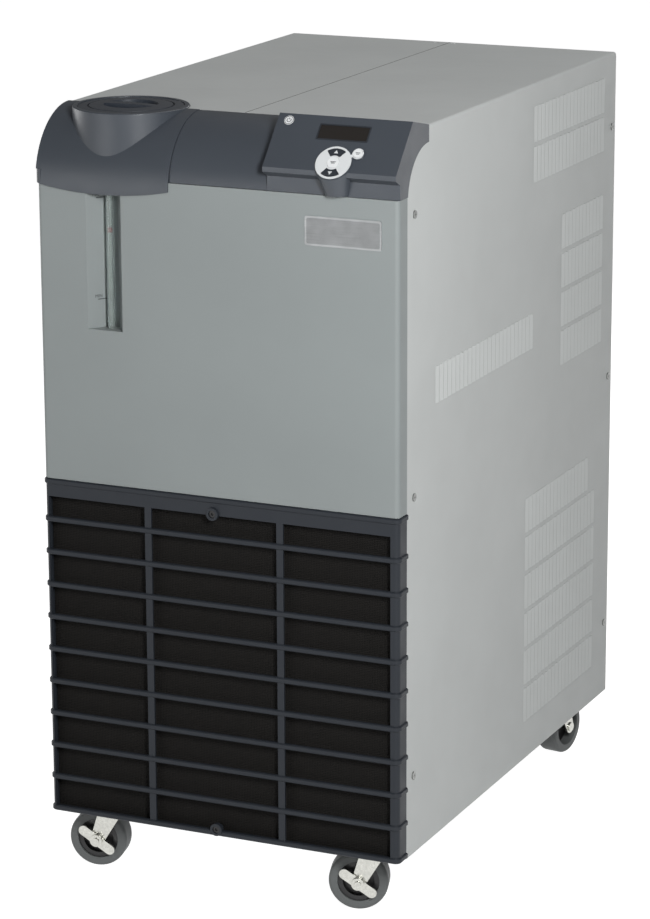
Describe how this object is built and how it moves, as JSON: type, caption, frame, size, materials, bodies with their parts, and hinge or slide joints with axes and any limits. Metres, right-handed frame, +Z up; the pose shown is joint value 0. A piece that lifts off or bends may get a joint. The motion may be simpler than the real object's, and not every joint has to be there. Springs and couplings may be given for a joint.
{
  "type": "recirculating chiller",
  "caption": "Upright air-cooled liquid chiller on swivel casters: ribbed intake grille, level gauge, louvred side panels, round filler cap and sloping control panel.",
  "frame": {"origin": "on the ground, under the middle of the bounding box", "axes": "+Z up; the control panel and grille face -Y; +X is to the right seen from the front"},
  "size_m": [0.488, 0.7882, 1.005],
  "materials": {
    "side_panel_paint": "satin powder coat",
    "front_panel_paint": "satin powder coat",
    "dark_plastic": "fine matt grain",
    "cap_plastic": "fine matt grain",
    "display_glass": "smoked gloss",
    "keypad_film": "satin film",
    "key_plastic": "matt",
    "button_white": "satin",
    "clear_plastic": "clear",
    "float_red": "gloss",
    "black_rubber": "matt",
    "filter_foam": "woven mesh",
    "zinc_steel": "zinc plated",
    "galvanised_sheet": "galvanised",
    "grey_tyre": "satin",
    "black_plastic": "satin",
    "aluminium_fins": "finned",
    "black_enamel": "gloss enamel",
    "stainless": "brushed",
    "copper": "drawn tube",
    "tank_plastic": "natural polyethylene",
    "motor_paint": "satin",
    "cast_bronze": "cast",
    "box_paint": "satin"
  },
  "bodies": {
    "cabinet": {"right_panel": "side_panel_paint", "left_panel": "side_panel_paint", "rear_panel": "side_panel_paint", "front_panel": "front_panel_paint", "reservoir_bezel": "dark_plastic", "center_bezel": "dark_plastic", "control_housing": "dark_plastic", "grille": "dark_plastic", "display_window": "display_glass", "keypad_overlay": "keypad_film", "reservoir_tank": "tank_plastic", "sight_tube": "clear_plastic", "sight_fittings": "black_plastic", "grille_screws": "black_plastic", "air_filter": "filter_foam", "chassis": "galvanised_sheet", "panel_screws": "zinc_steel", "condenser": "aluminium_fins", "fan_shroud": "galvanised_sheet", "fan_motor": "black_enamel", "compressor": "black_enamel", "compressor_mounts": "black_rubber", "evaporator": "stainless", "suction_pipe": "copper", "discharge_pipe": "copper", "liquid_pipe": "copper", "pump": "cast_bronze", "pump_motor": "motor_paint", "coolant_hoses": "black_rubber", "electrical_box": "box_paint", "process_outlet": "stainless", "process_inlet": "stainless", "cable_gland": "black_plastic", "breaker_body": "black_plastic", "caster_plates": "zinc_steel", "caster_bolts": "zinc_steel"},
    "cap": {"reservoir_cap": "cap_plastic"},
    "level_float": {"sight_float": "float_red"},
    "power_button": {"power_button": "button_white"},
    "up_key": {"up_key": "key_plastic"},
    "down_key": {"down_key": "key_plastic"},
    "enter_key": {"enter_key": "key_plastic"},
    "cancel_key": {"cancel_key": "key_plastic"},
    "fan": {"fan_blades": "aluminium_fins"},
    "breaker_rocker": {"breaker_rocker": "key_plastic"},
    "cap_ring": {"cap_gasket": "black_rubber"},
    "caster_fork_front_left": {"fork_front_left": "zinc_steel"},
    "wheel_front_left": {"hub_front_left": "black_plastic", "tyre_front_left": "grey_tyre"},
    "caster_fork_front_right": {"fork_front_right": "zinc_steel"},
    "wheel_front_right": {"hub_front_right": "black_plastic", "tyre_front_right": "grey_tyre"},
    "caster_fork_rear_left": {"fork_rear_left": "zinc_steel"},
    "wheel_rear_left": {"hub_rear_left": "black_plastic", "tyre_rear_left": "grey_tyre"},
    "caster_fork_rear_right": {"fork_rear_right": "zinc_steel"},
    "wheel_rear_right": {"hub_rear_right": "black_plastic", "tyre_rear_right": "grey_tyre"},
    "brake_front_left": {"brake_lever_front_left": "zinc_steel"},
    "brake_front_right": {"brake_lever_front_right": "zinc_steel"}
  },
  "joints": [
    {"name": "swivel_front_left", "type": "hinge", "parent": "cabinet", "child": "caster_fork_front_left", "pos_m": [-0.184, -0.31091, 0.09], "axis": [0, 0, 1], "continuous": true},
    {"name": "wheel_spin_front_left", "type": "hinge", "parent": "caster_fork_front_left", "child": "wheel_front_left", "pos_m": [-0.20356, -0.31506, 0.038], "axis": [0.2079, -0.9781, 0], "continuous": true},
    {"name": "brake_front_left", "type": "hinge", "parent": "caster_fork_front_left", "child": "brake_front_left", "pos_m": [-0.20356, -0.31506, 0.038], "axis": [0.2079, -0.9781, 0], "range_deg": [0, 40]},
    {"name": "swivel_front_right", "type": "hinge", "parent": "cabinet", "child": "caster_fork_front_right", "pos_m": [0.184, -0.31091, 0.09], "axis": [0, 0, 1], "continuous": true},
    {"name": "wheel_spin_front_right", "type": "hinge", "parent": "caster_fork_front_right", "child": "wheel_front_right", "pos_m": [0.16498, -0.31709, 0.038], "axis": [0.309, -0.9511, 0], "continuous": true},
    {"name": "brake_front_right", "type": "hinge", "parent": "caster_fork_front_right", "child": "brake_front_right", "pos_m": [0.16498, -0.31709, 0.038], "axis": [0.309, -0.9511, 0], "range_deg": [0, 40]},
    {"name": "swivel_rear_left", "type": "hinge", "parent": "cabinet", "child": "caster_fork_rear_left", "pos_m": [-0.184, 0.31009, 0.09], "axis": [0, 0, 1], "continuous": true},
    {"name": "wheel_spin_rear_left", "type": "hinge", "parent": "caster_fork_rear_left", "child": "wheel_rear_left", "pos_m": [-0.18918, 0.32941, 0.038], "axis": [-0.9659, -0.2588, 0], "continuous": true},
    {"name": "swivel_rear_right", "type": "hinge", "parent": "cabinet", "child": "caster_fork_rear_right", "pos_m": [0.184, 0.31009, 0.09], "axis": [0, 0, 1], "continuous": true},
    {"name": "wheel_spin_rear_right", "type": "hinge", "parent": "caster_fork_rear_right", "child": "wheel_rear_right", "pos_m": [0.18713, 0.32985, 0.038], "axis": [-0.9877, 0.1564, 0], "continuous": true},
    {"name": "cap_lift", "type": "slide", "parent": "cabinet", "child": "cap_ring", "axis": [0, 0, 1], "range_m": [0, 0.06]},
    {"name": "cap_turn", "type": "hinge", "parent": "cap_ring", "child": "cap", "pos_m": [-0.151, -0.29391, 0.988], "axis": [0, 0, 1], "range_deg": [-90, 0]},
    {"name": "float_rise", "type": "slide", "parent": "cabinet", "child": "level_float", "axis": [0, 0, 1], "range_m": [-0.11, 0.05]},
    {"name": "power_button_press", "type": "slide", "parent": "cabinet", "child": "power_button", "axis": [0, 0.7452, -0.6668], "range_m": [0, 0.0008], "stiffness_N_per_m": 800},
    {"name": "up_key_press", "type": "slide", "parent": "cabinet", "child": "up_key", "axis": [0, 0.7452, -0.6668], "range_m": [0, 0.0008], "stiffness_N_per_m": 800},
    {"name": "down_key_press", "type": "slide", "parent": "cabinet", "child": "down_key", "axis": [0, 0.7452, -0.6668], "range_m": [0, 0.0008], "stiffness_N_per_m": 800},
    {"name": "enter_key_press", "type": "slide", "parent": "cabinet", "child": "enter_key", "axis": [0, 0.7452, -0.6668], "range_m": [0, 0.0008], "stiffness_N_per_m": 800},
    {"name": "cancel_key_press", "type": "slide", "parent": "cabinet", "child": "cancel_key", "axis": [0, 0.7452, -0.6668], "range_m": [0, 0.0008], "stiffness_N_per_m": 800},
    {"name": "fan_spin", "type": "hinge", "parent": "cabinet", "child": "fan", "pos_m": [0, -0.26091, 0.31], "axis": [0, 1, 0], "continuous": true},
    {"name": "breaker_rock", "type": "hinge", "parent": "cabinet", "child": "breaker_rocker", "pos_m": [-0.09, 0.37159, 0.645], "axis": [1, 0, 0], "range_deg": [-16, 0]}
  ]
}
